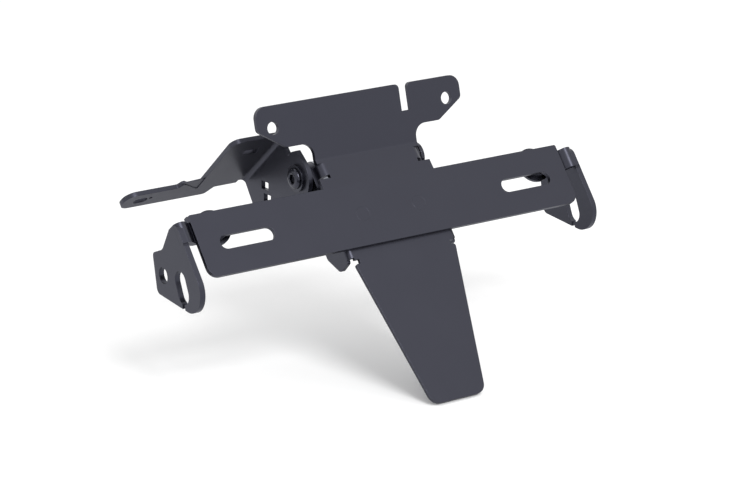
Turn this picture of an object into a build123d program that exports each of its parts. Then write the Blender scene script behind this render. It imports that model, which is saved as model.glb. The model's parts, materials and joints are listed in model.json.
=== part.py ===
from build123d import *
import os
from math import cos, radians, sin

# Tail tidy: a folded carrier sheet that bolts up under a motorbike's tail,
# with a plate tongue, two turn-signal brackets and one side arm. Millimetres.
# +X is the rider's right, +Y is forward along the bike, +Z is up. The origin
# is midway between the two tail bolts, on the face that seats on the bike.

# Sheet gauges and folds
sheet = 2.5  # carrier and side arm
inner_sheet = 2.0  # rear bracket and its tongue
signal_sheet = 3.0  # turn-signal brackets
fold_radius = 2.0  # inside radius of the carrier's folds
inner_fold_radius = 1.0  # inside radius of the rear bracket's folds
arm_fold_radius = 2.5  # inside radius of the side arm's fold
saw = 1.2  # width of every relief cut at the end of a fold

# How far each face leans back from upright, in degrees
flange_tilt = 14.5
band_tilt = 43.5
bar_tilt = 39.0
tongue_tilt = 36.7
arm_slope = 40.2  # how steeply the side arm's fold runs down, in degrees

# Top flange, heights measured up from its fold
flange_half = 64.2
flange_height = 32.0
flange_corner = 6.0
lobe_low = 9.4  # underside of the two bolt lobes
lobe_side = 19.5  # where the lobe's side starts to slant in
lobe_foot = 48.3  # where the slant ends
lobe_round = 3.0
tail_hole_height = 20.3
tail_hole_spacing = 109.6
tail_hole_r = 3.4
cable_notch_x = 28.2
cable_notch_w = 5.6
cable_notch_round = 2.5
cable_notch_deep = 14.5

# Band between the flange and the crossbar
band_length = 16.8
neck_half = 32.2
neck_relief_r = 6.5
skirt_half = 34.9

# Crossbar
bar_half = 116.2
bar_height = 34.5
bar_low_corner = 5.5
bar_top_corner = 1.0
slot_x = 88.1
slot_drop = 17.6
slot_length = 32.2
slot_width = 7.6

# Side pivots, placed from the band's lower front edge
pivot_level = 14.7
pivot_depth = 12.5
ear_r = 7.0
ear_relief = 2.0
bolt_r = 3.0
bolt_hole_r = 3.2
head_r = 5.3
head_height = 3.3
head_slope = 2.0  # how far the head's rim slopes in
socket_across = 4.0
socket_deep = 2.0
washer_r = 7.2
washer_thick = 1.4
thin_washer_thick = 0.7
ring_r = 6.3
ring_thick = 0.7
nut_across = 10.0
nut_thick = 5.0
nut_collar = 1.5
bolt_spare = 1.2  # thread that stands past each nut

# Clinch studs that hold the rear bracket
stud_x = 17.7
stud_drop = 17.3
stud_head_r = 4.0
stud_r = 2.5
stud_hole_r = 2.7
stud_washer_r = 5.0
stud_washer_thick = 1.0
stud_nut_across = 8.0
stud_nut_thick = 4.0
edge_break = 0.25

# Rear bracket: drops are measured down the crossbar from its top edge,
# depths back from its front face
web_top = 6.0
web_low = 38.8
flange_toe_drop = 41.6
flange_toe_depth = 14.8
flange_heel_drop = 40.4
flange_back_drop = 30.8
flange_back_depth = 22.2
tongue_top_half = 31.6
tongue_neck_half = 28.6  # what the two relief cuts leave above it
tongue_low_half = 16.4
tongue_length = 80.9
tongue_drop = 42.4
tongue_corner = 6.0

# Turn-signal brackets, with the same drops and depths
signal_gap = 9.2  # from the crossbar's end to the plate's outer face
strap_top = 3.0
strap_low = 14.4
eye_in = 14.5  # from the crossbar's end to the strap's stud
eye_top = -0.3
strap_slope = 45.0  # how steeply the strap comes forward round the bar's end
strap_start = 0.3  # from the crossbar's end to where it leaves the bar's back
plate_front = -1.5
signal_fold_radius = 0.5
signal_hole_r = 4.25
signal_hole_depth = 28.5
signal_hole_drop = 19.1
plate_low = 62.0  # drop of the corner that the big arc rounds off
plate_arc = 11.6
cable_hole_depth = 15.2
cable_hole_drop = 31.9
cable_hole_length = 17.3
cable_hole_width = 10.5
cable_hole_lean = 15.0
slit_width = 2.4
slit_lean = 30.0
slit_length = 13.0
strap_stud_r = 3.0
strap_hole_r = 3.2
strap_washer_r = 9.8
strap_washer_thick = 1.5
strap_nut_across = 10.0
strap_nut_thick = 5.0

# Side arm: the panel by the left pivot and the arm folded out from it.
# Distances "along" run down the fold from its lower end.
arm_reach = 73.3
fold_length = 47.1
fold_low = 4.4  # how far the fold runs past that end
pivot_along = -44.3
pivot_below = 23.7
panel_head_r = 11.3
panel_slot_length = 6.9
panel_slot_width = 4.4
arm_width = 30.2
arm_slot_length = 9.0
arm_slot_width = 5.0
tab_low = 14.8
tab_slot_in = 10.6  # from the tab's tip to its slot
tab_slot_level = 7.5
tab_slot_length = 8.2
tab_slot_width = 5.4
tab_hole_in = 16.4
tab_hole_level = 6.2
tab_hole_r = 1.0


def sheet_face(origin, tilt):
    """Plane on the outside of a leaning sheet: local x across, local y up it."""
    lean = radians(tilt)
    return Plane(origin=origin, x_dir=(1, 0, 0), z_dir=(0, -cos(lean), sin(lean)))


def side_of(plane, x=0):
    """Plane seen along +X: local x is the depth behind the sheet, local y up it."""
    start = plane.origin + Vector(x, 0, 0)
    return Plane(origin=start, x_dir=-plane.z_dir, z_dir=(1, 0, 0))


def cut_outline(corners):
    """Flat outline from (x, y, corner radius) corners."""
    outline = make_face(Polyline(*[(x, y) for x, y, _ in corners], close=True))
    for x, y, radius in corners:
        if radius > 0:
            corner = outline.vertices().sort_by_distance((x, y, 0))[0]
            outline = fillet(corner, radius)
    return outline


def both_ways(corners):
    """The same corners on the left, to close a symmetric outline."""
    return corners + [(-x, y, radius) for x, y, radius in reversed(corners)]


def leaf(plane, outline, thick):
    """Flat sheet that lies behind a plane."""
    return extrude(plane * outline, amount=thick, dir=-plane.z_dir)


def across(plane, outline, start, end):
    """Solid that runs sideways between two values of x."""
    return extrude(side_of(plane, start) * outline, amount=end - start, dir=(1, 0, 0))


def bent_outline(path, thick, inside):
    """Side view of a bent sheet that lies to the right of its front line."""
    points = [Vector(x, y, 0) for x, y in path]
    runs = [(end - start).normalized() for start, end in zip(points, points[1:])]
    backs = [Vector(run.Y, -run.X, 0) for run in runs]
    rear = [points[0] + backs[0] * thick]
    for point, before, after in zip(points[1:], backs, backs[1:]):
        miter = (before + after).normalized()
        rear.append(point + miter * (thick / miter.dot(before)))
    rear.append(points[-1] + backs[-1] * thick)
    outline = make_face(Polyline(*points, *reversed(rear), close=True))
    for knee in range(1, len(points) - 1):
        valley = runs[knee - 1].cross(runs[knee]).Z > 0
        near = inside if valley else inside + thick
        far = inside + thick if valley else inside
        outline = fillet(outline.vertices().sort_by_distance(points[knee])[0], near)
        outline = fillet(outline.vertices().sort_by_distance(rear[knee])[0], far)
    return outline


def fold_strip(front, thick, inside, half):
    """Bent strip, symmetric in x, from the (y, z) points of its outside."""
    return extrude(Plane.YZ * bent_outline(front, thick, inside), amount=half, both=True)


def quarter_bend(plane, x, y, outer, inner, length, towards):
    """Quarter of a tube: the curved part of a fold, run along one direction."""
    ring = Circle(outer) - Circle(inner)
    corner = ring & (Pos(outer / 2, outer / 2) * Rectangle(outer, outer))
    placed = plane * Pos(x, y) * corner
    return extrude(placed, amount=length, dir=towards)


def disc(start, end, outer, inner=0.0):
    """Ring or disc on the pivot axis between two values of x."""
    ring = Circle(outer) - Circle(inner) if inner > 0 else Circle(outer)
    base = Plane(origin=(start, pivot.Y, pivot.Z), x_dir=(0, 1, 0), z_dir=(1, 0, 0))
    return extrude(base * ring, amount=end - start, dir=(1, 0, 0))


# Reference planes, from the tail bolts down to the tongue
flange_lean = radians(flange_tilt)
seat_point = Vector(0, -sheet * cos(flange_lean), sheet * sin(flange_lean))
flange_up = Vector(0, sin(flange_lean), cos(flange_lean))
flange_fold = seat_point - flange_up * tail_hole_height
flange_face = sheet_face(flange_fold, flange_tilt)
band_up = Vector(0, sin(radians(band_tilt)), cos(radians(band_tilt)))
bar_top = flange_fold - band_up * band_length
band_face = sheet_face(bar_top, band_tilt)
bar_face = sheet_face(bar_top, bar_tilt)
pivot = side_of(band_face).from_local_coords(Vector(pivot_depth, pivot_level, 0))
pivot_from_bar = side_of(bar_face).to_local_coords(pivot)

# Carrier: crossbar, band, flange and two ears, cut and folded as one sheet
outer_fold = fold_radius + sheet
relief_level = pivot_level - ear_r - ear_relief
bar_mid = bar_face.from_local_coords(Vector(0, -slot_drop, 0))
band_split = band_face.from_local_coords(Vector(0, relief_level, 0))
flange_mid = flange_face.from_local_coords(Vector(0, lobe_low, 0))
carrier = fold_strip(
    [(bar_mid.Y, bar_mid.Z), (bar_top.Y, bar_top.Z), (band_split.Y, band_split.Z)],
    sheet,
    fold_radius,
    skirt_half,
)
carrier += fold_strip(
    [(band_split.Y, band_split.Z), (flange_fold.Y, flange_fold.Z), (flange_mid.Y, flange_mid.Z)],
    sheet,
    fold_radius,
    neck_half,
)
flange_outline = cut_outline(
    both_ways(
        [
            (flange_half, flange_height, flange_corner),
            (flange_half, lobe_side, lobe_round),
            (lobe_foot, lobe_low, lobe_round),
            (neck_half, lobe_low, neck_relief_r),
            (neck_half, (lobe_low - neck_relief_r) / 2, 0),
        ]
    )
)
notch_mid = flange_height - cable_notch_deep / 2
flange_outline -= Pos(cable_notch_x, notch_mid) * Rectangle(cable_notch_w, cable_notch_deep)
for side in (-1, 1):
    notch_corner = (cable_notch_x + side * cable_notch_w / 2, flange_height, 0)
    mouth = flange_outline.vertices().sort_by_distance(notch_corner)[0]
    flange_outline = fillet(mouth, cable_notch_round)
for side in (-1, 1):
    flange_outline -= Pos(side * tail_hole_spacing / 2, tail_hole_height) * Circle(tail_hole_r)
carrier += leaf(flange_face, flange_outline, sheet)
bar_outline = cut_outline(
    both_ways(
        [
            (skirt_half, -web_top, 0),
            (skirt_half, 0, 0),
            (bar_half, 0, bar_top_corner),
            (bar_half, -bar_height, bar_low_corner),
        ]
    )
)
carrier += leaf(bar_face, bar_outline, sheet)
for side in (-1, 1):
    slot = Pos(side * slot_x, -slot_drop) * SlotOverall(slot_length, slot_width)
    carrier -= leaf(bar_face, slot, sheet)
    stud_seat = Pos(side * stud_x, -stud_drop) * Circle(stud_head_r)
    carrier -= leaf(bar_face, stud_seat, sheet)

# Ears on the carrier: relief cuts, curved folds and rounded lugs
ear_in = neck_half - outer_fold
relief_mid = (relief_level + pivot_level) / 2
relief_tall = pivot_level - relief_level
relief_wide = skirt_half - ear_in + saw
lug_outline = Pos((outer_fold + pivot_depth) / 2, pivot_level - ear_r / 2) * Rectangle(
    pivot_depth - outer_fold, ear_r
)
lug_outline += Pos(pivot_depth, pivot_level) * Circle(ear_r)
lug_outline -= Pos(pivot_depth, pivot_level) * Circle(bolt_hole_r)
lug_right = across(band_face, lug_outline, neck_half - sheet, neck_half)
bend_start = band_face.from_local_coords(Vector(ear_in, pivot_level - ear_r, -outer_fold))
bend_plane = Plane(origin=bend_start, x_dir=(1, 0, 0), z_dir=-band_up)
lug_right += quarter_bend(bend_plane, 0, 0, outer_fold, fold_radius, ear_r, band_up)
for side in (-1, 1):
    cut = Pos(side * (ear_in + relief_wide / 2), relief_mid) * Rectangle(relief_wide, relief_tall)
    carrier -= leaf(band_face, cut, sheet)
carrier += lug_right
carrier += mirror(lug_right, Plane.YZ)

# Rear bracket: a channel on the crossbar's back, with the plate tongue
channel_half = neck_half + inner_sheet
inner_outer_fold = inner_fold_radius + inner_sheet
web_half = channel_half - inner_outer_fold
web_face = bar_face.offset(-sheet)
knee_drop = (web_low + tongue_drop) / 2
web_start = web_face.from_local_coords(Vector(0, -web_top, 0))
web_knee = web_face.from_local_coords(Vector(0, -knee_drop, 0))
tongue_face = sheet_face(web_knee, tongue_tilt)
tongue_head = knee_drop - tongue_drop
tongue_start = tongue_face.from_local_coords(Vector(0, tongue_head - saw, 0))
bracket = fold_strip(
    [(tongue_start.Y, tongue_start.Z), (web_knee.Y, web_knee.Z), (web_start.Y, web_start.Z)],
    inner_sheet,
    inner_fold_radius,
    tongue_neck_half,
)
web_outline = cut_outline(
    both_ways([(web_half, -web_top, 0), (web_half, -(web_low + saw), 0)])
)
bracket += leaf(web_face, web_outline, inner_sheet)

# Its two side flanges reach back and up to the pivots
front_edge = sheet + inner_outer_fold
wing_outline = cut_outline(
    [
        (front_edge, -web_top, 0),
        (pivot_from_bar.X - ear_r, pivot_from_bar.Y, 0),
        (pivot_from_bar.X + ear_r, pivot_from_bar.Y, 0),
        (flange_back_depth, -flange_back_drop, 3 * saw),
        (flange_toe_depth, -flange_toe_drop, 3 * saw),
        (front_edge, -flange_heel_drop, saw),
    ]
)
pivot_spot = Pos(pivot_from_bar.X, pivot_from_bar.Y)
wing_outline += pivot_spot * Circle(ear_r)
wing_outline -= pivot_spot * Circle(bolt_hole_r)
wing_right = across(bar_face, wing_outline, channel_half - inner_sheet, channel_half)
web_bend = bar_face.from_local_coords(Vector(web_half, -web_low, -front_edge))
bend_up = bar_face.y_dir
bend_plane = Plane(origin=web_bend, x_dir=(1, 0, 0), z_dir=-bend_up)
wing_right += quarter_bend(
    bend_plane, 0, 0, inner_outer_fold, inner_fold_radius, web_low - web_top, bend_up
)
bracket += wing_right
bracket += mirror(wing_right, Plane.YZ)
tongue_outline = cut_outline(
    both_ways(
        [
            (tongue_top_half, tongue_head, saw),
            (tongue_low_half, tongue_head - tongue_length, tongue_corner),
        ]
    )
)
bracket += leaf(tongue_face, tongue_outline, inner_sheet)
for side in (-1, 1):
    stud_hole = Pos(side * stud_x, -stud_drop) * Circle(stud_hole_r)
    bracket -= leaf(web_face, stud_hole, inner_sheet)

# Turn-signal bracket, drawn on the right: a shaped plate with a strap
signal_outer = bar_half + signal_gap
eye_x = bar_half - eye_in
eye_r = (strap_low - eye_top) / 2
eye_drop = (strap_low + eye_top) / 2
strap_flat = bar_half + strap_start
fold_outer = signal_fold_radius + signal_sheet
lean = radians(strap_slope)
knee_depth = sheet - (signal_outer - strap_flat) * sin(lean) / cos(lean)
plate_start = 2 * fold_outer
strap_low_point = bar_face.from_local_coords(Vector(0, -strap_low, 0))
strap_plane = Plane(origin=strap_low_point, x_dir=(1, 0, 0), z_dir=bar_face.y_dir)
strap_side = bent_outline(
    [
        (signal_outer, plate_start),
        (signal_outer, knee_depth),
        (strap_flat, sheet),
        (eye_x, sheet),
    ],
    signal_sheet,
    signal_fold_radius,
)
signal = extrude(strap_plane * strap_side, amount=strap_low - strap_top)
flare_end = strap_flat - signal_fold_radius
eye_outline = Pos((eye_x + flare_end) / 2, -eye_drop) * Rectangle(flare_end - eye_x, 2 * eye_r)
eye_outline += Pos(eye_x, -eye_drop) * Circle(eye_r)
eye_outline -= Pos(eye_x, -eye_drop) * Circle(strap_hole_r)
signal += leaf(bar_face.offset(-sheet), eye_outline, signal_sheet)
signal -= leaf(bar_face.offset(-sheet), Pos(eye_x, -eye_drop) * Circle(strap_hole_r), signal_sheet)
plate_outline = cut_outline(
    [
        (plate_start, -strap_top, 0),
        (20.2, -8.2, 5.0),
        (30.5, -5.2, 2.5),
        (40.2, -23.6, 3.5),
        (plate_front, -plate_low, plate_arc),
        (plate_front, -strap_low, 0),
        (plate_start, -strap_low, 0),
    ]
)
signal_hole = Pos(signal_hole_depth, -signal_hole_drop)
plate_outline -= signal_hole * Circle(signal_hole_r)
cable_spot = Pos(cable_hole_depth, -cable_hole_drop)
cable_hole = SlotOverall(cable_hole_length, cable_hole_width, rotation=90 + cable_hole_lean)
plate_outline -= cable_spot * cable_hole
slit = Pos(0, -slit_length) * Rectangle(slit_width, 2 * slit_length)
plate_outline -= cable_spot * Rot(0, 0, slit_lean) * slit
signal += across(bar_face, plate_outline, signal_outer - signal_sheet, signal_outer)

# Side arm: panel beside the left pivot, fold, and the flat arm folded outward
slope = radians(arm_slope)
along = Vector(0, cos(slope), -sin(slope))
above = Vector(0, sin(slope), cos(slope))
stack_thick = 2 * thin_washer_thick + ring_thick
panel_in = -(channel_half + stack_thick)
panel_out = panel_in - sheet
fold_end = pivot - along * pivot_along + above * pivot_below
fold_end = Vector(panel_out, fold_end.Y, fold_end.Z)
panel_plane = Plane(origin=fold_end, x_dir=along, z_dir=(1, 0, 0))
arm_plane = Plane(origin=fold_end, x_dir=(-1, 0, 0), z_dir=-above)
arm_bend = arm_fold_radius + sheet
panel_outline = cut_outline(
    [
        (-fold_length, -arm_fold_radius, 0),
        (-43.9, -5.5, 1.5),
        (pivot_along, -10.9, 1.0),
        (-48.6, -10.5, 0.8),
        (-53.2, -12.1, 0.8),
        (pivot_along - panel_head_r * 0.973, panel_head_r * 0.23 - pivot_below, 0),
        (pivot_along, -panel_head_r - pivot_below, 0),
        (6.5, -25.2, 3.0),
        (fold_low, -arm_fold_radius, 0),
    ]
)
panel_outline += Pos(pivot_along, -pivot_below) * Circle(panel_head_r)
panel_outline -= Pos(pivot_along, -pivot_below) * Circle(bolt_hole_r)
for x, y in ((-12.6, -12.4), (-10.1, -18.9)):
    slot = Pos(x, y) * Rot(0, 0, arm_slope) * Rectangle(panel_slot_length, panel_slot_width)
    panel_outline -= slot
side_arm = extrude(panel_plane * panel_outline, amount=sheet, dir=(1, 0, 0))
arm_outline = cut_outline(
    [
        (arm_fold_radius, -fold_length, 0),
        (arm_width, -fold_length, 5.0),
        (28.8, 6.0, 0.8),
        (40.5, -3.9, 1.5),
        (42.6, 0.2, 1.0),
        (arm_reach, 0.2, 6.5),
        (arm_reach, tab_low, 6.0),
        (20.5, tab_low, 2.5),
        (17.5, 7.4, 1.5),
        (arm_fold_radius + saw, 7.2, 0.5),
        (arm_fold_radius + saw, fold_low, 0),
        (arm_fold_radius, fold_low, 0),
    ]
)
arm_outline -= Pos(13.5, -32.8) * Rectangle(arm_slot_length, arm_slot_width)
tab_slot = SlotOverall(tab_slot_length, tab_slot_width)
arm_outline -= Pos(arm_reach - tab_slot_in, tab_slot_level) * tab_slot
arm_outline -= Pos(arm_reach - tab_hole_in, tab_hole_level) * Circle(tab_hole_r)
side_arm += leaf(arm_plane, arm_outline, sheet)
bend_centre = fold_end + Vector(-arm_fold_radius, 0, 0) - above * arm_fold_radius
bend_plane = Plane(origin=bend_centre + along * fold_low, x_dir=(1, 0, 0), z_dir=-along)
side_arm += quarter_bend(
    bend_plane, 0, 0, arm_bend, arm_fold_radius, fold_length + fold_low, -along
)

# Pivot hardware, drawn on the right and mirrored: bolt, washers, ring and nut
stack_out = channel_half + stack_thick
inner_face = neck_half - sheet


def pivot_bolt(seat, inside):
    """Button head bolt whose head sits on a face; its thread runs inward."""
    head = disc(seat, seat + head_height, head_r)
    rim = head.edges().group_by(Axis.X)[-1]
    head = chamfer(rim, head_slope)
    socket = RegularPolygon(socket_across / 2, 6, major_radius=False)
    socket_base = Plane(
        origin=(seat + head_height, pivot.Y, pivot.Z), x_dir=(0, 1, 0), z_dir=(1, 0, 0)
    )
    head -= extrude(socket_base * socket, amount=socket_deep, dir=(-1, 0, 0))
    return head + disc(inside, seat, bolt_r)


def pivot_nut(seat):
    """Hexagon nut with a round locking collar on its inward end."""
    base = Plane(origin=(seat, pivot.Y, pivot.Z), x_dir=(0, 1, 0), z_dir=(-1, 0, 0))
    nut = extrude(base * RegularPolygon(nut_across / 2, 6, major_radius=False), amount=nut_thick)
    collar = disc(seat - nut_thick - nut_collar, seat - nut_thick, nut_across / 2 - edge_break)
    return nut + collar - disc(seat - nut_thick - nut_collar, seat, bolt_r)


nut_seat = inner_face - washer_thick
bolt_end = nut_seat - nut_thick - nut_collar - bolt_spare
right_seat = stack_out + washer_thick
left_seat = right_seat + sheet
ring_start = channel_half + thin_washer_thick
parts = {
    "plate_carrier": carrier,
    "rear_bracket": bracket,
    "indicator_bracket_right": signal,
    "indicator_bracket_left": mirror(signal, Plane.YZ),
    "side_arm": side_arm,
    "pivot_bolt_right": pivot_bolt(right_seat, bolt_end),
    "pivot_bolt_left": mirror(pivot_bolt(left_seat, bolt_end), Plane.YZ),
    "head_washer_right": disc(stack_out, right_seat, washer_r, bolt_hole_r),
    "head_washer_left": mirror(
        disc(stack_out + sheet, left_seat, washer_r, bolt_hole_r), Plane.YZ
    ),
}
both_sides = {
    "ear_washer": disc(channel_half, ring_start, washer_r, bolt_hole_r),
    "spacer_ring": disc(ring_start, ring_start + ring_thick, ring_r, bolt_hole_r),
    "outer_washer": disc(ring_start + ring_thick, stack_out, washer_r, bolt_hole_r),
    "nut_washer": disc(nut_seat, inner_face, washer_r, bolt_hole_r),
    "pivot_nut": pivot_nut(nut_seat),
}

# Clinch studs in the crossbar with their washers and nuts behind the web
web_back = sheet + inner_sheet
stud_reach = web_back + stud_washer_thick + stud_nut_thick + bolt_spare


def on_stud(outline, front, back, x=stud_x, drop=stud_drop):
    """Solid on a right stud's axis between two depths behind the crossbar."""
    plane = bar_face.offset(-front) * Pos(x, -drop)
    return extrude(plane * outline, amount=back - front, dir=-bar_face.z_dir)


def on_strap(outline, front, back):
    """The same on the axis of the stud that holds the signal bracket's strap."""
    return on_stud(outline, front, back, eye_x, eye_drop)


stud = on_stud(Circle(stud_head_r), 0, sheet)
stud += on_stud(Circle(stud_r), sheet, stud_reach)
stud_bore = Circle(stud_r)
nut_shape = RegularPolygon(stud_nut_across / 2, 6, major_radius=False) - stud_bore
both_sides["clinch_stud"] = stud
both_sides["stud_washer"] = on_stud(
    Circle(stud_washer_r) - Circle(stud_hole_r), web_back, web_back + stud_washer_thick
)
both_sides["stud_nut"] = on_stud(
    nut_shape, web_back + stud_washer_thick, stud_reach - bolt_spare
)

# Welded studs on the crossbar's back that hold the signal brackets' straps
strap_back = sheet + signal_sheet
strap_nut_seat = strap_back + strap_washer_thick
strap_reach = strap_nut_seat + strap_nut_thick
strap_nut_shape = RegularPolygon(strap_nut_across / 2, 6, major_radius=False)
both_sides["strap_stud"] = on_strap(Circle(strap_stud_r), sheet, strap_reach + bolt_spare)
both_sides["strap_washer"] = on_strap(
    Circle(strap_washer_r) - Circle(strap_hole_r), strap_back, strap_nut_seat
)
both_sides["strap_nut"] = on_strap(
    strap_nut_shape - Circle(strap_stud_r), strap_nut_seat, strap_reach
)
for name, right_piece in both_sides.items():
    parts[name + "_right"] = right_piece
    parts[name + "_left"] = mirror(right_piece, Plane.YZ)

os.makedirs("parts", exist_ok=True)
for name, piece in parts.items():
    export_step(piece, "parts/" + name + ".step")
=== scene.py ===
"""Looks for the tail tidy: finishes, turned fasteners, stage, light and camera."""

import json
import logging
import math
from collections.abc import Callable
from dataclasses import dataclass, field
from enum import Enum

import bmesh
import bpy
import numpy as np
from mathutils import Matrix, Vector

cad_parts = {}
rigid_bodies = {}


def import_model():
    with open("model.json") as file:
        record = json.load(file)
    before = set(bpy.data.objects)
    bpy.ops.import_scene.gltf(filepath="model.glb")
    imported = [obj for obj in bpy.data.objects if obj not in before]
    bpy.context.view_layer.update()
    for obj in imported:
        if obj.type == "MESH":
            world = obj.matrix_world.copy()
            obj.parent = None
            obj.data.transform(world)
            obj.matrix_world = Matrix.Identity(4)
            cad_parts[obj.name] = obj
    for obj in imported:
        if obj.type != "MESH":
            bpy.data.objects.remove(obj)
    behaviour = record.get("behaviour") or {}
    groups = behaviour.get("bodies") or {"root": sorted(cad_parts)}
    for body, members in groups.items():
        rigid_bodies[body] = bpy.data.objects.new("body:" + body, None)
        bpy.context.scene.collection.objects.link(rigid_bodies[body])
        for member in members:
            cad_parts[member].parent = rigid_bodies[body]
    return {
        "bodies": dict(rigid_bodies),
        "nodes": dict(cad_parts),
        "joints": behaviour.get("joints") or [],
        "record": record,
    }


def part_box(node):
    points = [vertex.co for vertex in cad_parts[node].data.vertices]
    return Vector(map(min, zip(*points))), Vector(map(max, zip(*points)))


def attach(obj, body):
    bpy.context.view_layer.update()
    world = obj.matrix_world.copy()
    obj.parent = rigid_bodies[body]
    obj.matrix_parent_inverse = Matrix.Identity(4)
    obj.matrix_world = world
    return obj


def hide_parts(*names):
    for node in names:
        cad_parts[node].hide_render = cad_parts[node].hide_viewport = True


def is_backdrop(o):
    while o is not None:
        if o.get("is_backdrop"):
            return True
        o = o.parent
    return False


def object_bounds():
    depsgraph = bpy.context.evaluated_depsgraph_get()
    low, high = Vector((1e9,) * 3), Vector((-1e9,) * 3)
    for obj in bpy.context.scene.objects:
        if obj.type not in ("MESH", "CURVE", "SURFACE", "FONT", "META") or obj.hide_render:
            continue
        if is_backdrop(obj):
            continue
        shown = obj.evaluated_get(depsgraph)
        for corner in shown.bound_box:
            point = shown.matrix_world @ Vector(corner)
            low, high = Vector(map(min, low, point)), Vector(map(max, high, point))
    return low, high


LOG = logging.getLogger("tail_tidy")
MM = 0.001
BODY = "root"  # nothing on this part moves
BAR_TILT = 39.0  # how far the crossbar's face leans back, in degrees
COAT_ROUGHNESS = 0.08
CLOUD_MM = 18.0  # size of the patches over which the roughness drifts
ROUGHNESS_DRIFT = 0.1  # share of the roughness that it drifts up and down
BEVEL_SAMPLES = 6
MERGE_REACH = 1e-7  # points closer than this, in metres, are one
SHARP_ANGLE = 34.0  # degrees between faces that still look smooth
THREAD_PITCH = 1.0  # millimetres between crests
THREAD_DEPTH = 0.55  # crest to root, as a share of the pitch
THREAD_RINGS = 10  # rings per pitch
THREAD_LEAD = 0.7  # how much thinner a thread's end is, as a radius
CORNER_STEPS = 9  # points round a rounded corner
MIX_A, MIX_B, MIX_RESULT = 6, 7, 2  # the colour sockets of Blender's mix node

Ring = Callable[[np.ndarray], np.ndarray]


class Surface(Enum):
    """The real finishes that the object is made in."""

    POWDER_COAT = "satin_black"
    BLACK_ZINC = "black_steel"
    BRIGHT_ZINC = "zinc_steel"
    RUBBER = "rubber"


@dataclass(frozen=True)
class Finish:
    """One painted, plated or moulded finish.

    Args:
        colour: sRGB hex of the bare colour.
        metallic: 1 for bare metal, 0 for paint and rubber.
        roughness: how wide the highlights spread.
        grain_mm: size of the surface's fine texture, in millimetres.
        grain_mm_deep: how deep that texture is, in millimetres.
        edge_mm: radius that catches light along cut edges, in millimetres.
        coat: strength of a clear glossy layer.
        tint: colour of what the surface mirrors.
        ior: how strongly paint or rubber mirrors; metals keep the usual value.
    """

    colour: str
    metallic: float
    roughness: float
    grain_mm: float
    grain_mm_deep: float
    edge_mm: float
    coat: float = 0.0
    tint: str = "#ffffff"
    ior: float = 1.5


FINISHES: dict[Surface, Finish] = {
    # Satin powder coat: near black, with a fine grain; pale surroundings turn it cool grey.
    Surface.POWDER_COAT: Finish(
        "#08080c",
        metallic=0.0,
        roughness=0.34,
        grain_mm=0.55,
        grain_mm_deep=0.006,
        edge_mm=0.30,
        tint="#e3e5ff",
        ior=1.76,
    ),
    # Black zinc on the pivot bolts, strap nuts and outer washers: as dark as the coat, with
    # tighter highlights.
    Surface.BLACK_ZINC: Finish(
        "#0a0a0e",
        metallic=0.0,
        roughness=0.24,
        grain_mm=0.30,
        grain_mm_deep=0.002,
        edge_mm=0.25,
        coat=0.15,
        tint="#e3e5ff",
        ior=1.7,
    ),
    # Bright zinc on the inner nuts and washers: the one light metal, with soft silver edges.
    Surface.BRIGHT_ZINC: Finish(
        "#b9bcc2",
        metallic=1.0,
        roughness=0.28,
        grain_mm=0.25,
        grain_mm_deep=0.002,
        edge_mm=0.20,
    ),
    # Matt rubber in the spacer rings: no highlight, so each ring reads as a dark gap.
    Surface.RUBBER: Finish(
        "#161616",
        metallic=0.0,
        roughness=0.75,
        grain_mm=0.40,
        grain_mm_deep=0.010,
        edge_mm=0.30,
    ),
}


def linear(hex_colour: str) -> tuple[float, float, float, float]:
    """Linear RGBA of an sRGB hex colour.

    Args:
        hex_colour: six hex digits after a hash sign.

    Returns:
        Linear red, green and blue, with alpha 1.
    """
    channels = [int(hex_colour[i : i + 2], 16) / 255 for i in (1, 3, 5)]
    red, green, blue = [
        c / 12.92 if c <= 0.04045 else ((c + 0.055) / 1.055) ** 2.4 for c in channels
    ]
    return red, green, blue, 1.0


def add_node(tree: bpy.types.NodeTree, kind: str, **values: object) -> bpy.types.Node:
    """A shader node with some of its inputs or properties set.

    Args:
        tree: the material's node tree.
        kind: Blender's name for the node type.
        values: input or property names with underscores for spaces.

    Returns:
        The new node.
    """
    node = tree.nodes.new(kind)
    for name, value in values.items():
        label = name.replace("_", " ")
        if label in node.inputs:
            node.inputs[label].default_value = value
        else:
            setattr(node, name, value)
    return node


def add_object(name: str, data: bpy.types.ID) -> bpy.types.Object:
    """An object in the scene's own collection.

    Args:
        name: the object's name.
        data: its mesh, light or camera.

    Returns:
        The new object.
    """
    thing = bpy.data.objects.new(name, data)
    bpy.context.scene.collection.objects.link(thing)
    return thing


def centre_of(node: str) -> Vector:
    """Middle of a CAD node's box.

    Args:
        node: the node's name.

    Returns:
        The point in metres.
    """
    low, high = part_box(node)
    return (low + high) / 2


def leaning(degrees: float) -> tuple[Vector, Vector]:
    """Directions of a plane that leans about the bike's width.

    Args:
        degrees: how far it leans.

    Returns:
        Forward and down, and square to that, forward and up.
    """
    angle = math.radians(degrees)
    return (
        Vector((0, math.cos(angle), -math.sin(angle))),
        Vector((0, math.sin(angle), math.cos(angle))),
    )


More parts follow.
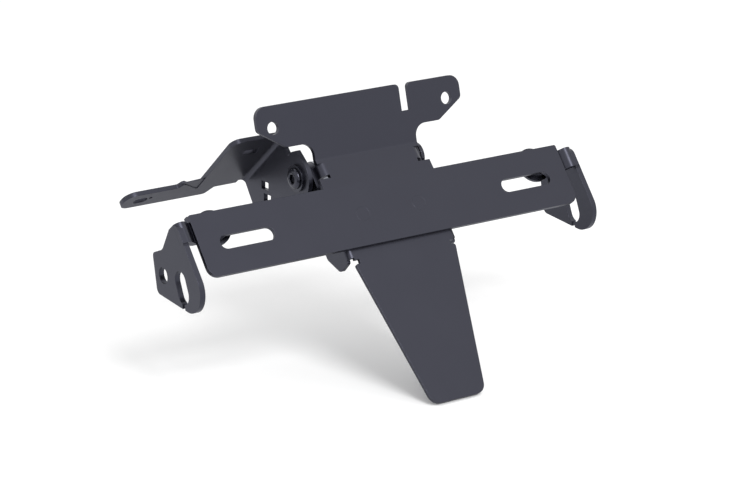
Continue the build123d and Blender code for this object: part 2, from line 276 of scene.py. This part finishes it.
def make_material(surface: Surface) -> bpy.types.Material:
    """Procedural material for one finish.

    Args:
        surface: which real finish.

    Returns:
        The material, with its grain in real millimetres.
    """
    finish = FINISHES[surface]
    material = bpy.data.materials.new(surface.value)
    material.use_nodes = True
    tree = material.node_tree
    shader = tree.nodes["Principled BSDF"]
    shader.inputs["Base Color"].default_value = linear(finish.colour)
    shader.inputs["Metallic"].default_value = finish.metallic
    shader.inputs["IOR"].default_value = finish.ior
    shader.inputs["Specular Tint"].default_value = linear(finish.tint)
    shader.inputs["Coat Weight"].default_value = finish.coat
    shader.inputs["Coat Roughness"].default_value = COAT_ROUGHNESS
    place = add_node(tree, "ShaderNodeTexCoord")
    grain = add_node(tree, "ShaderNodeTexNoise", Scale=1 / (finish.grain_mm * MM), Detail=2.0)
    cloud = add_node(tree, "ShaderNodeTexNoise", Scale=1 / (CLOUD_MM * MM), Detail=3.0)
    spread = add_node(tree, "ShaderNodeMapRange")
    spread.inputs["To Min"].default_value = finish.roughness * (1 - ROUGHNESS_DRIFT)
    spread.inputs["To Max"].default_value = finish.roughness * (1 + ROUGHNESS_DRIFT)
    bevel = add_node(
        tree, "ShaderNodeBevel", samples=BEVEL_SAMPLES, Radius=finish.edge_mm * MM
    )
    bump = add_node(tree, "ShaderNodeBump", Strength=1.0, Distance=finish.grain_mm_deep * MM)
    tree.links.new(place.outputs["Object"], grain.inputs["Vector"])
    tree.links.new(place.outputs["Object"], cloud.inputs["Vector"])
    tree.links.new(cloud.outputs["Fac"], spread.inputs["Value"])
    tree.links.new(spread.outputs["Result"], shader.inputs["Roughness"])
    tree.links.new(grain.outputs["Fac"], bump.inputs["Height"])
    tree.links.new(bevel.outputs["Normal"], bump.inputs["Normal"])
    tree.links.new(bump.outputs["Normal"], shader.inputs["Normal"])
    return material


def hexagon(across: float) -> Ring:
    """Radius of a hexagon round its centre.

    Args:
        across: distance between opposite flats, in millimetres.

    Returns:
        The radius for an array of angles.
    """

    def radius(turn: np.ndarray) -> np.ndarray:
        wrapped = np.mod(turn, math.pi / 3) - math.pi / 6
        return across / 2 / np.cos(wrapped)

    return radius


def helix(outer: float, depth: float, pitch: float, at: float) -> Ring:
    """Radius of a screw thread at one place along its axis.

    The radius falls and rises once per pitch, and the pattern turns once round while it
    moves one pitch along, which makes a true helix.

    Args:
        outer: crest radius in millimetres.
        depth: crest to root in millimetres.
        pitch: distance between crests in millimetres.
        at: place along the axis in millimetres.

    Returns:
        The radius for an array of angles.
    """

    def radius(turn: np.ndarray) -> np.ndarray:
        phase = np.mod(at / pitch + turn / (2 * math.pi), 1.0)
        flank = 1.6 * np.abs(2 * phase - 1) - 0.3  # straight, cut flat at crest and root
        return outer - depth * np.clip(flank, 0.0, 1.0)

    return radius


@dataclass
class Turned:
    """A fastener built as rings round one axis.

    Args:
        name: the piece's name.
        replaces: the CAD node that it stands for.
        surface: its finish.
        origin: the point that heights are measured from, in metres.
        axis: the direction of growing height.
        around: how many steps each ring has.
    """

    name: str
    replaces: str
    surface: Surface
    origin: Vector
    axis: Vector
    around: int = 72
    rings: list[tuple[float, Ring]] = field(default_factory=list)

    def ring(self, height: float, radius: float | Ring) -> None:
        """Adds one ring.

        Args:
            height: along the axis, in millimetres.
            radius: a plain radius in millimetres, or one that changes with the angle.
        """
        if callable(radius):
            self.rings.append((height, radius))
        else:
            self.rings.append((height, lambda turn, r=radius: np.full_like(turn, r)))

    def thread(self, start: float, end: float, outer: float, pitch: float) -> None:
        """Adds a screw thread between two heights.

        Args:
            start: first height in millimetres.
            end: last height in millimetres.
            outer: crest radius in millimetres.
            pitch: distance between crests in millimetres.
        """
        steps = max(2, int(abs(end - start) / pitch * THREAD_RINGS))
        for at in np.linspace(start, end, steps):
            self.ring(float(at), helix(outer, THREAD_DEPTH * pitch, pitch, float(at)))

    def build(self, materials: dict[Surface, bpy.types.Material]) -> bpy.types.Object:
        """Makes the piece and hides the CAD node that it stands for.

        Args:
            materials: one for each finish.

        Returns:
            The new object.
        """
        turn = np.linspace(0, 2 * math.pi, self.around, endpoint=False)
        axis = self.axis.normalized()
        side = axis.orthogonal().normalized()
        if abs(axis.x) < 0.5:
            side = Vector((1, 0, 0))
        other = axis.cross(side)
        frame = np.array([axis, side, other])
        rows = []
        for height, radius in self.rings:
            reach = radius(turn)
            local = np.stack(
                [np.full_like(turn, height), reach * np.cos(turn), reach * np.sin(turn)], axis=1
            )
            rows.append(local @ frame * MM + np.array(self.origin))
        points = np.concatenate(rows)
        row = np.arange(len(rows) - 1)[:, None] * self.around
        first = np.arange(self.around)[None, :]
        after = (first + 1) % self.around
        quads = np.stack(
            [row + first, row + after, row + self.around + after, row + self.around + first],
            axis=-1,
        ).reshape(-1, 4)
        mesh = bpy.data.meshes.new(self.name)
        mesh.from_pydata(points.tolist(), [], quads.tolist())
        merge_close(mesh)
        mesh.shade_smooth()
        mesh.set_sharp_from_angle(angle=math.radians(SHARP_ANGLE))
        mesh.materials.append(materials[self.surface])
        piece = add_object(self.name, mesh)
        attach(piece, BODY)
        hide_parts(self.replaces)
        return piece


def merge_close(mesh: bpy.types.Mesh) -> None:
    """Joins points that lie in one place and turns the faces outward.

    Args:
        mesh: the mesh to clean.
    """
    work = bmesh.new()
    work.from_mesh(mesh)
    bmesh.ops.remove_doubles(work, verts=work.verts, dist=MERGE_REACH)
    bmesh.ops.recalc_face_normals(work, faces=work.faces)
    work.to_mesh(mesh)
    work.free()


@dataclass(frozen=True)
class PivotBolt:
    """M6 button head bolt with a hexagon socket. Its lengths are in millimetres.

    Args:
        side: -1 for the left, 1 for the right.
        packed_height: height of the CAD head, which finds the seat.
        head_r: radius of the head.
        head_height: height of the head.
        socket: hexagon socket between flats.
        socket_deep: depth of the socket's flats.
        socket_tip: depth of the drilled cone under them.
        socket_lead: width of the chamfer round the socket.
        flat: width of the flat round that chamfer.
        rim: height of the head's upright rim.
        rim_break: chamfer under the rim.
        shank: plain length under the head.
        run_out: from the shank to the first full thread.
        tip: unthreaded length at the end.
        thread_r: crest radius of the thread.
    """

    side: int
    packed_height: float = 3.3
    head_r: float = 5.6
    head_height: float = 2.0
    socket: float = 4.6
    socket_deep: float = 1.9
    socket_tip: float = 0.5
    socket_lead: float = 0.55
    flat: float = 0.2
    rim: float = 0.5
    rim_break: float = 0.25
    shank: float = 1.5
    run_out: float = 0.5
    tip: float = 0.8
    thread_r: float = 3.0

    def build(self, materials: dict[Surface, bpy.types.Material]) -> None:
        """Makes the bolt over its CAD node.

        Args:
            materials: one for each finish.
        """
        node = "pivot_bolt_right" if self.side > 0 else "pivot_bolt_left"
        low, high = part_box(node)
        face, tip = (high.x, low.x) if self.side > 0 else (low.x, high.x)
        seat = centre_of(node)
        seat.x = face - self.side * self.packed_height * MM
        length = abs(tip - seat.x) / MM
        bolt = Turned(node + "_turned", node, Surface.BLACK_ZINC, seat, Vector((self.side, 0, 0)))
        top = self.head_height
        hollow = hexagon(self.socket)
        bolt.ring(top - self.socket_deep - self.socket_tip, 0.0)
        bolt.ring(top - self.socket_deep, hollow)
        bolt.ring(top - 0.25, hollow)
        bolt.ring(top - 0.02, self.socket / 2 + self.socket_lead)
        start = self.socket / 2 + self.socket_lead + self.flat
        bolt.ring(top, start)
        rise = top - self.rim
        for angle in np.linspace(0.12, math.pi / 2, 12):
            reach = start + (self.head_r - start) * math.sin(angle)
            bolt.ring(self.rim + rise * max(math.cos(angle), 0.0) ** 0.9, reach)
        bolt.ring(self.rim_break, self.head_r)
        bolt.ring(0.0, self.head_r - self.rim_break)
        bolt.ring(0.0, self.thread_r)
        bolt.ring(-self.shank, self.thread_r)
        bolt.thread(-self.shank - self.run_out, self.tip - length, self.thread_r, THREAD_PITCH)
        bolt.ring(-length, self.thread_r - THREAD_LEAD)
        bolt.ring(-length, 0.0)
        bolt.build(materials)


@dataclass(frozen=True)
class Nut:
    """Hexagon nut with chamfered corners and, where it locks, a collar.

    Args:
        node: the CAD node that it stands for.
        surface: its finish.
        axis: from its seat outward.
        across: between flats, in millimetres.
        thick: height of the hexagon, in millimetres.
        bore: thread radius, in millimetres.
        collar: height of the locking collar, in millimetres.
    """

    node: str
    surface: Surface
    axis: Vector
    across: float
    thick: float
    bore: float
    collar: float = 0.0

    def build(self, materials: dict[Surface, bpy.types.Material]) -> None:
        """Makes the nut over its CAD node.

        Args:
            materials: one for each finish.
        """
        whole = self.thick + self.collar
        seat = centre_of(self.node) - self.axis.normalized() * whole / 2 * MM
        nut = Turned(self.node + "_turned", self.node, self.surface, seat, self.axis)
        flat = hexagon(self.across)
        half = self.across / 2
        slope = 0.16 * half  # how far the corners are turned in
        rise = 0.58 * slope  # tangent of the usual 30 degree chamfer
        shares = (0.0, 0.25, 0.5, 0.75, 1.0)
        corner = half * 1.155  # from the centre to a hexagon's corner
        face = half * 0.97
        collar = half * 0.93

        def capped(inward: float) -> Ring:
            return lambda turn: np.minimum(flat(turn), corner - inward)

        nut.ring(0.0, self.bore)
        nut.ring(0.0, face)
        for share in shares:
            nut.ring(share * rise, capped(slope * (1 - share)))
        for share in reversed(shares):
            nut.ring(self.thick - share * rise, capped(slope * (1 - share)))
        nut.ring(self.thick, face)
        if self.collar > 0:
            nut.ring(self.thick, collar)
            nut.ring(whole - 0.5, collar)
            nut.ring(whole, half * 0.80)
        nut.ring(whole, self.bore)
        nut.ring(0.0, self.bore)
        nut.build(materials)


@dataclass(frozen=True)
class StrapStud:
    """Threaded stud welded on the crossbar's back.

    Args:
        node: the CAD node that it stands for.
        axis: out of the crossbar's back.
        radius: thread radius, in millimetres.
        length: whole length, in millimetres.
        foot: plain length by the weld, in millimetres.
        tip: from each end to the thread, in millimetres.
    """

    node: str
    axis: Vector
    radius: float
    length: float
    foot: float = 0.5
    tip: float = 0.8

    def build(self, materials: dict[Surface, bpy.types.Material]) -> None:
        """Makes the stud over its CAD node.

        Args:
            materials: one for each finish.
        """
        start = centre_of(self.node) - self.axis.normalized() * self.length / 2 * MM
        stud = Turned(self.node + "_turned", self.node, Surface.POWDER_COAT, start, self.axis)
        stud.ring(0.0, 0.0)
        stud.ring(0.0, self.radius)
        stud.ring(self.foot, self.radius)
        stud.thread(self.tip, self.length - self.tip, self.radius, THREAD_PITCH)
        stud.ring(self.length, self.radius - THREAD_LEAD)
        stud.ring(self.length, 0.0)
        stud.build(materials)


def fit_fasteners(materials: dict[Surface, bpy.types.Material]) -> None:
    """Dresses the bolts, nuts and studs with threads and chamfers.

    Args:
        materials: one for each finish.
    """
    behind, _ = leaning(BAR_TILT)
    for side, name in ((-1, "left"), (1, "right")):
        PivotBolt(side).build(materials)
        inward = Vector((-side, 0, 0))
        nuts = (
            Nut("pivot_nut_" + name, Surface.BRIGHT_ZINC, inward, 10.0, 5.0, bore=3.0, collar=1.5),
            Nut("stud_nut_" + name, Surface.BRIGHT_ZINC, behind, 8.0, 4.0, bore=2.5),
            Nut("strap_nut_" + name, Surface.BLACK_ZINC, behind, 10.0, 5.0, bore=3.0),
        )
        for nut in nuts:
            nut.build(materials)
        StrapStud("strap_stud_" + name, behind, radius=3.0, length=10.7).build(materials)


def prism(
    name: str,
    near: list[Vector],
    far: list[Vector],
    materials: dict[Surface, bpy.types.Material],
) -> bpy.types.Object:
    """A flat coated plate between two copies of one outline.

    Args:
        name: the plate's name.
        near: corners of one face in metres.
        far: the same corners on the other face.
        materials: one for each finish.

    Returns:
        The plate, riding with the frame.
    """
    count = len(near)
    faces = [tuple(range(count)), tuple(range(2 * count - 1, count - 1, -1))]
    for i in range(count):
        j = (i + 1) % count
        faces.append((j, i, i + count, j + count))
    mesh = bpy.data.meshes.new(name)
    mesh.from_pydata(near + far, [], faces)
    merge_close(mesh)
    mesh.materials.append(materials[Surface.POWDER_COAT])
    plate = add_object(name, mesh)
    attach(plate, BODY)
    return plate


@dataclass(frozen=True)
class Gusset:
    """Thin web that closes the notch between the side arm and its tab.

    Its outline is in the arm's plane: x runs outward from the fold, y down along the fold.

    Args:
        outline: corners in millimetres.
        slope: how steeply the arm's fold runs down, in degrees.
        reach: from the fold to the tab's tip.
        fold_along: from the pivot to the fold's lower end, along the fold.
        fold_above: from the pivot up to the arm.
        behind: how far the web's face lies behind the arm's.
        thick: the web's thickness.
    """

    outline: tuple[tuple[float, float], ...] = (
        (27.0, -5.6),
        (29.5, -5.9),
        (40.9, -4.6),
        (41.5, -2.0),
        (38.0, 3.0),
        (27.0, 7.0),
    )
    slope: float = 40.2
    reach: float = 73.3
    fold_along: float = 44.3
    fold_above: float = 23.7
    behind: float = 0.35
    thick: float = 0.6

    def build(self, materials: dict[Surface, bpy.types.Material]) -> None:
        """Makes the web inside the thickness of the arm's sheet.

        Args:
            materials: one for each finish.
        """
        along, above = leaning(self.slope)
        arm_low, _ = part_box("side_arm")
        start = centre_of("pivot_bolt_left")
        start += (along * self.fold_along + above * self.fold_above) * MM
        start.x = arm_low.x + self.reach * MM
        near, far = [
            [
                start + (Vector((-x, 0, 0)) + along * y + above * height) * MM
                for x, y in self.outline
            ]
            for height in (self.behind, self.behind + self.thick)
        ]
        prism("arm_gusset", near, far, materials)


@dataclass(frozen=True)
class SignalLip:
    """Front corner of a turn-signal plate, beside its strap's fold.

    Its outline is in the plate's plane: depth behind the crossbar's face, then the drop
    from the crossbar's top.

    Args:
        side: -1 for the left, 1 for the right.
        plate_front: depth of the plate's front edge.
        eye_top: drop of the strap's highest point.
        low: drop at which the plate's own front edge starts.
        top: drop of the corner's top.
        back: depth at which it ends in the plate.
        corner: radius of the corner.
        sheet: thickness of the plate.
        inset: how far it stays inside the plate's faces.
    """

    side: int
    plate_front: float = -1.5
    eye_top: float = -0.3
    low: float = 16.0
    top: float = 3.0
    back: float = 6.0
    corner: float = 4.5
    sheet: float = 3.0
    inset: float = 0.02

    def build(self, frame: dict, materials: dict[Surface, bpy.types.Material]) -> None:
        """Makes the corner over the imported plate.

        Args:
            materials: one for each finish.
        """
        hand = "right" if self.side > 0 else "left"
        bracket = frame["nodes"]["indicator_bracket_" + hand]
        behind, upward = leaning(BAR_TILT)
        spots = [bracket.matrix_world @ vertex.co for vertex in bracket.data.vertices]
        depth = min(spot.dot(behind) for spot in spots) - self.plate_front * MM
        level = max(spot.dot(upward) for spot in spots) + self.eye_top * MM
        outer = max(self.side * spot.x for spot in spots) - self.inset * MM
        inner = outer - (self.sheet - 2 * self.inset) * MM
        outline = [(self.plate_front, self.low)]
        for turn in np.linspace(0.0, math.pi / 2, CORNER_STEPS):
            back = self.plate_front + self.corner * (1 - math.cos(turn))
            drop = self.top + self.corner * (1 - math.sin(turn))
            outline.append((back, drop))
        outline += [(self.back, self.top), (self.back, self.low)]
        near, far = [
            [
                Vector((self.side * reach, 0, 0))
                + behind * (depth + back * MM)
                + upward * (level - drop * MM)
                for back, drop in outline
            ]
            for reach in (outer, inner)
        ]
        prism("signal_corner_" + hand, near, far, materials)


@dataclass(frozen=True)
class Stage:
    """Pale floor that shows white to the camera and keeps the object's shadow.

    Args:
        level: height of the floor in metres.
        half: half of the floor's side in metres.
        seen: its colour to the camera.
        mirrored: its colour to all other rays.
    """

    level: float
    half: float = 6.0
    seen: str = "#ffffff"
    mirrored: str = "#d2d3d7"

    def build(self) -> bpy.types.Object:
        """Makes the floor.

        Returns:
            The floor object.
        """
        corners = [(-1, -1), (1, -1), (1, 1), (-1, 1)]
        mesh = bpy.data.meshes.new("floor")
        mesh.from_pydata(
            [(x * self.half, y * self.half, self.level) for x, y in corners], [], [(0, 1, 2, 3)]
        )
        floor = add_object("floor", mesh)
        material = bpy.data.materials.new("white_floor")
        material.use_nodes = True
        tree = material.node_tree
        shader = tree.nodes["Principled BSDF"]
        path = add_node(tree, "ShaderNodeLightPath")
        tone = add_node(tree, "ShaderNodeMix", data_type="RGBA")
        tone.inputs[MIX_A].default_value = linear(self.mirrored)
        tone.inputs[MIX_B].default_value = linear(self.seen)
        tree.links.new(path.outputs["Is Camera Ray"], tone.inputs[0])
        tree.links.new(tone.outputs[MIX_RESULT], shader.inputs["Base Color"])
        shader.inputs["Roughness"].default_value = 1.0
        shader.inputs["Specular IOR Level"].default_value = 0.0
        mesh.materials.append(material)
        floor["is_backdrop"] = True
        return floor


@dataclass(frozen=True)
class Lamp:
    """One soft rectangular lamp that points at the object.

    Args:
        name: the lamp's name.
        place: where it stands, in metres.
        side: its width and height, in metres.
        watts: its power.
    """

    name: str
    place: tuple[float, float, float]
    side: float
    watts: float

    def build(self, aim: Vector) -> None:
        """Makes the lamp.

        Args:
            aim: the point it faces.
        """
        data = bpy.data.lights.new(self.name, "AREA")
        data.shape = "SQUARE"
        data.size = self.side
        data.energy = self.watts
        lamp = add_object(self.name, data)
        lamp.location = self.place
        lamp.rotation_euler = (aim - lamp.location).to_track_quat("-Z", "Y").to_euler()


@dataclass(frozen=True)
class View:
    """Camera with a long lens, to the left of the part and a little above it.

    Args:
        aim: the point at the image centre, in metres.
        azimuth: degrees round from straight behind the bike.
        elevation: degrees above the horizon.
        distance: from the aim, in metres.
        lens: focal length for a 36 mm wide sensor.
    """

    aim: tuple[float, float, float] = (-0.00848, -0.01907, -0.0656)
    azimuth: float = -34.31
    elevation: float = 17.71
    distance: float = 1.4387
    lens: float = 134.9

    def build(self) -> bpy.types.Object:
        """Makes the camera.

        Returns:
            The camera, set as the scene's.
        """
        data = bpy.data.cameras.new("camera")
        data.lens = self.lens
        data.sensor_width = 36.0
        turn, rise = math.radians(self.azimuth), math.radians(self.elevation)
        back = Vector(
            (math.sin(turn) * math.cos(rise), -math.cos(turn) * math.cos(rise), math.sin(rise))
        )
        camera = add_object("camera", data)
        camera.location = Vector(self.aim) + back * self.distance
        camera.rotation_euler = (-back).to_track_quat("-Z", "Y").to_euler()
        bpy.context.scene.camera = camera
        return camera


def light_world(strength: float) -> None:
    """White surroundings for fill light.

    Args:
        strength: brightness, where 1 is white.
    """
    world = bpy.data.worlds.new("studio")
    world.use_nodes = True
    ground = world.node_tree.nodes["Background"]
    ground.inputs["Color"].default_value = linear("#ffffff")
    ground.inputs["Strength"].default_value = strength
    bpy.context.scene.world = world


def dress_nodes(frame: dict, materials: dict[Surface, bpy.types.Material]) -> None:
    """Gives each CAD piece the material of its slot in the record.

    Args:
        materials: one for each finish.
    """
    slots = {row["node"]: row["material_slot"] for row in frame["record"]["subparts"]}
    for name, piece in frame["nodes"].items():
        piece.data.materials.clear()
        piece.data.materials.append(materials[Surface(slots[name])])


def main() -> None:
    """Builds the whole scene."""
    logging.basicConfig(level=logging.INFO)
    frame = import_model()
    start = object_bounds()
    materials = {surface: make_material(surface) for surface in Surface}
    dress_nodes(frame, materials)
    fit_fasteners(materials)
    Gusset().build(materials)
    for side in (-1, 1):
        SignalLip(side).build(frame, materials)
    low, high = start
    Stage(level=low.z - 0.5 * MM).build()
    light_world(strength=0.9)
    aim = (low + high) / 2
    Lamp("key", place=(-0.2, -1.45, 1.25), side=0.7, watts=21.0).build(aim)
    View().build()
    bpy.context.scene.view_settings.view_transform = "Standard"
    LOG.info("built %d pieces", len(frame["nodes"]))


if __name__ == "__main__":
    main()
